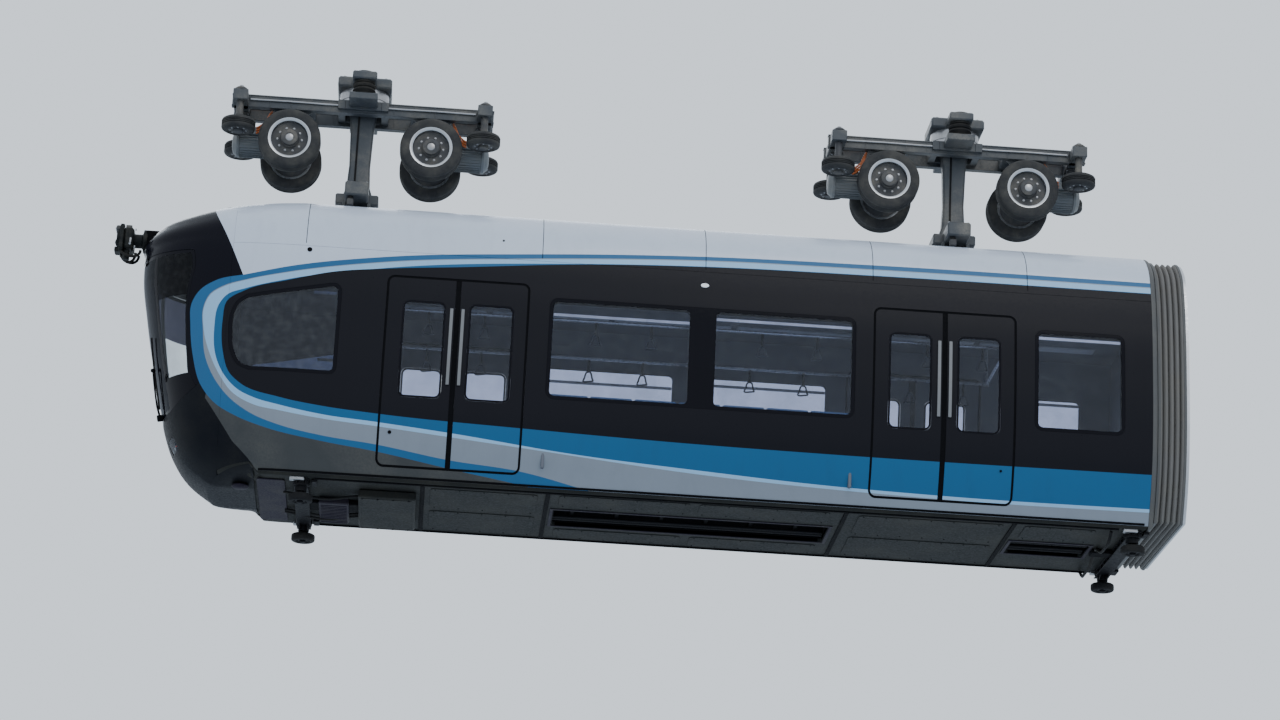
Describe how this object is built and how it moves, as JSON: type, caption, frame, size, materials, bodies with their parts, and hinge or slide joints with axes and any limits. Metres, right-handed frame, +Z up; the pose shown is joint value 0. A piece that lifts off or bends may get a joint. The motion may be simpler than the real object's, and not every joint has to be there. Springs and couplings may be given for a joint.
{
  "type": "suspended monorail car",
  "caption": "End car of a suspended monorail train: hollow body with cab and gangway half, hung on hangers from rubber-tyred bogies that run inside a girder.",
  "frame": {"origin": "on the girder's running surface, on the centreline, midway between the two bogies", "axes": "+X forward to the cab, +Y to the car's left, +Z up"},
  "size_m": [11.255, 2.4, 4.912],
  "materials": {
    "frame_paint": "satin, dusty",
    "white_paint": "semi-gloss",
    "body_paint": "gloss black band over blue and silver stripes",
    "door_paint": "gloss black band over blue and silver stripes",
    "nose_paint": "gloss black mask over a dark grey chin",
    "end_wall_paint": "satin",
    "interior_panel": "matt",
    "dark_glass": "tinted",
    "headlamp_lens": "clear",
    "coupler_steel": "satin",
    "bellows_fabric": "coated fabric, matt",
    "ring_aluminium": "satin",
    "grab_rail_steel": "brushed",
    "desk_plastic": "textured",
    "seat_fabric": "woven",
    "underfloor_steel": "satin, dusty",
    "hanger_steel": "satin",
    "bogie_steel": "satin",
    "drive_iron": "painted casting",
    "running_tyre": "matt",
    "guide_tyre": "matt",
    "roller_rubber": "matt"
  },
  "bodies": {
    "root": {"underframe": "frame_paint", "roof_shell": "white_paint", "ceiling": "interior_panel", "rear_end_wall": "end_wall_paint", "nose_shell": "nose_paint", "windscreen": "dark_glass", "front_coupler": "coupler_steel", "rear_drawbar": "coupler_steel", "gangway_bellows": "bellows_fabric", "gangway_ring": "ring_aluminium", "grab_rails": "grab_rail_steel", "cab_partition": "interior_panel", "driver_desk": "desk_plastic", "driver_seat": "seat_fabric", "left_side_wall": "body_paint", "left_headlamp": "headlamp_lens", "left_bench": "seat_fabric", "left_saloon_glass": "dark_glass", "left_rear_glass": "dark_glass", "left_cab_glass": "dark_glass", "left_front_door_fore_leaf": "door_paint", "left_front_door_aft_leaf": "door_paint", "left_rear_door_fore_leaf": "door_paint", "left_rear_door_aft_leaf": "door_paint", "right_side_wall": "body_paint", "right_headlamp": "headlamp_lens", "right_bench": "seat_fabric", "right_saloon_glass": "dark_glass", "right_rear_glass": "dark_glass", "right_cab_glass": "dark_glass", "right_front_door_fore_leaf": "door_paint", "right_front_door_aft_leaf": "door_paint", "right_rear_door_fore_leaf": "door_paint", "right_rear_door_aft_leaf": "door_paint", "front_roller_beam": "underfloor_steel", "front_hanger": "hanger_steel", "rear_roller_beam": "underfloor_steel", "rear_hanger": "hanger_steel"},
    "front_bogie": {"front_bogie_frame": "bogie_steel", "front_bogie_front_drive": "drive_iron", "front_bogie_rear_drive": "drive_iron"},
    "rear_bogie": {"rear_bogie_frame": "bogie_steel", "rear_bogie_front_drive": "drive_iron", "rear_bogie_rear_drive": "drive_iron"},
    "front_bogie_front_wheelset": {"front_bogie_front_wheelset": "running_tyre"},
    "front_bogie_front_left_guide": {"front_bogie_front_left_guide_wheel": "guide_tyre"},
    "front_bogie_front_right_guide": {"front_bogie_front_right_guide_wheel": "guide_tyre"},
    "front_bogie_rear_wheelset": {"front_bogie_rear_wheelset": "running_tyre"},
    "front_bogie_rear_left_guide": {"front_bogie_rear_left_guide_wheel": "guide_tyre"},
    "front_bogie_rear_right_guide": {"front_bogie_rear_right_guide_wheel": "guide_tyre"},
    "rear_bogie_front_wheelset": {"rear_bogie_front_wheelset": "running_tyre"},
    "rear_bogie_front_left_guide": {"rear_bogie_front_left_guide_wheel": "guide_tyre"},
    "rear_bogie_front_right_guide": {"rear_bogie_front_right_guide_wheel": "guide_tyre"},
    "rear_bogie_rear_wheelset": {"rear_bogie_rear_wheelset": "running_tyre"},
    "rear_bogie_rear_left_guide": {"rear_bogie_rear_left_guide_wheel": "guide_tyre"},
    "rear_bogie_rear_right_guide": {"rear_bogie_rear_right_guide_wheel": "guide_tyre"},
    "front_left_roller_body": {"front_left_roller": "roller_rubber"},
    "front_right_roller_body": {"front_right_roller": "roller_rubber"},
    "rear_left_roller_body": {"rear_left_roller": "roller_rubber"},
    "rear_right_roller_body": {"rear_right_roller": "roller_rubber"}
  },
  "joints": [
    {"name": "front_bogie_yaw", "type": "hinge", "parent": "root", "child": "front_bogie", "pos_m": [3.2, 0, 0.86], "axis": [0, 0, 1], "range_deg": [-6, 6]},
    {"name": "rear_bogie_yaw", "type": "hinge", "parent": "root", "child": "rear_bogie", "pos_m": [-3.2, 0, 0.86], "axis": [0, 0, 1], "range_deg": [-6, 6]},
    {"name": "front_bogie_front_axle_spin", "type": "hinge", "parent": "front_bogie", "child": "front_bogie_front_wheelset", "pos_m": [3.95, 0, 0.33], "axis": [0, 1, 0], "continuous": true},
    {"name": "front_bogie_front_left_guide_spin", "type": "hinge", "parent": "front_bogie", "child": "front_bogie_front_left_guide", "pos_m": [4.5, 0.37, 0.45], "axis": [0, 0, 1], "continuous": true},
    {"name": "front_bogie_front_right_guide_spin", "type": "hinge", "parent": "front_bogie", "child": "front_bogie_front_right_guide", "pos_m": [4.5, -0.37, 0.45], "axis": [0, 0, 1], "continuous": true},
    {"name": "front_bogie_rear_axle_spin", "type": "hinge", "parent": "front_bogie", "child": "front_bogie_rear_wheelset", "pos_m": [2.45, 0, 0.33], "axis": [0, 1, 0], "continuous": true},
    {"name": "front_bogie_rear_left_guide_spin", "type": "hinge", "parent": "front_bogie", "child": "front_bogie_rear_left_guide", "pos_m": [1.9, 0.37, 0.45], "axis": [0, 0, 1], "continuous": true},
    {"name": "front_bogie_rear_right_guide_spin", "type": "hinge", "parent": "front_bogie", "child": "front_bogie_rear_right_guide", "pos_m": [1.9, -0.37, 0.45], "axis": [0, 0, 1], "continuous": true},
    {"name": "rear_bogie_front_axle_spin", "type": "hinge", "parent": "rear_bogie", "child": "rear_bogie_front_wheelset", "pos_m": [-2.45, 0, 0.33], "axis": [0, 1, 0], "continuous": true},
    {"name": "rear_bogie_front_left_guide_spin", "type": "hinge", "parent": "rear_bogie", "child": "rear_bogie_front_left_guide", "pos_m": [-1.9, 0.37, 0.45], "axis": [0, 0, 1], "continuous": true},
    {"name": "rear_bogie_front_right_guide_spin", "type": "hinge", "parent": "rear_bogie", "child": "rear_bogie_front_right_guide", "pos_m": [-1.9, -0.37, 0.45], "axis": [0, 0, 1], "continuous": true},
    {"name": "rear_bogie_rear_axle_spin", "type": "hinge", "parent": "rear_bogie", "child": "rear_bogie_rear_wheelset", "pos_m": [-3.95, 0, 0.33], "axis": [0, 1, 0], "continuous": true},
    {"name": "rear_bogie_rear_left_guide_spin", "type": "hinge", "parent": "rear_bogie", "child": "rear_bogie_rear_left_guide", "pos_m": [-4.5, 0.37, 0.45], "axis": [0, 0, 1], "continuous": true},
    {"name": "rear_bogie_rear_right_guide_spin", "type": "hinge", "parent": "rear_bogie", "child": "rear_bogie_rear_right_guide", "pos_m": [-4.5, -0.37, 0.45], "axis": [0, 0, 1], "continuous": true},
    {"name": "front_left_roller_spin", "type": "hinge", "parent": "root", "child": "front_left_roller_body", "pos_m": [3.53, 0.8, -3.71], "axis": [0, 0, 1], "continuous": true},
    {"name": "front_right_roller_spin", "type": "hinge", "parent": "root", "child": "front_right_roller_body", "pos_m": [3.53, -0.8, -3.71], "axis": [0, 0, 1], "continuous": true},
    {"name": "rear_left_roller_spin", "type": "hinge", "parent": "root", "child": "rear_left_roller_body", "pos_m": [-5.015, 0.8, -3.71], "axis": [0, 0, 1], "continuous": true},
    {"name": "rear_right_roller_spin", "type": "hinge", "parent": "root", "child": "rear_right_roller_body", "pos_m": [-5.015, -0.8, -3.71], "axis": [0, 0, 1], "continuous": true}
  ]
}
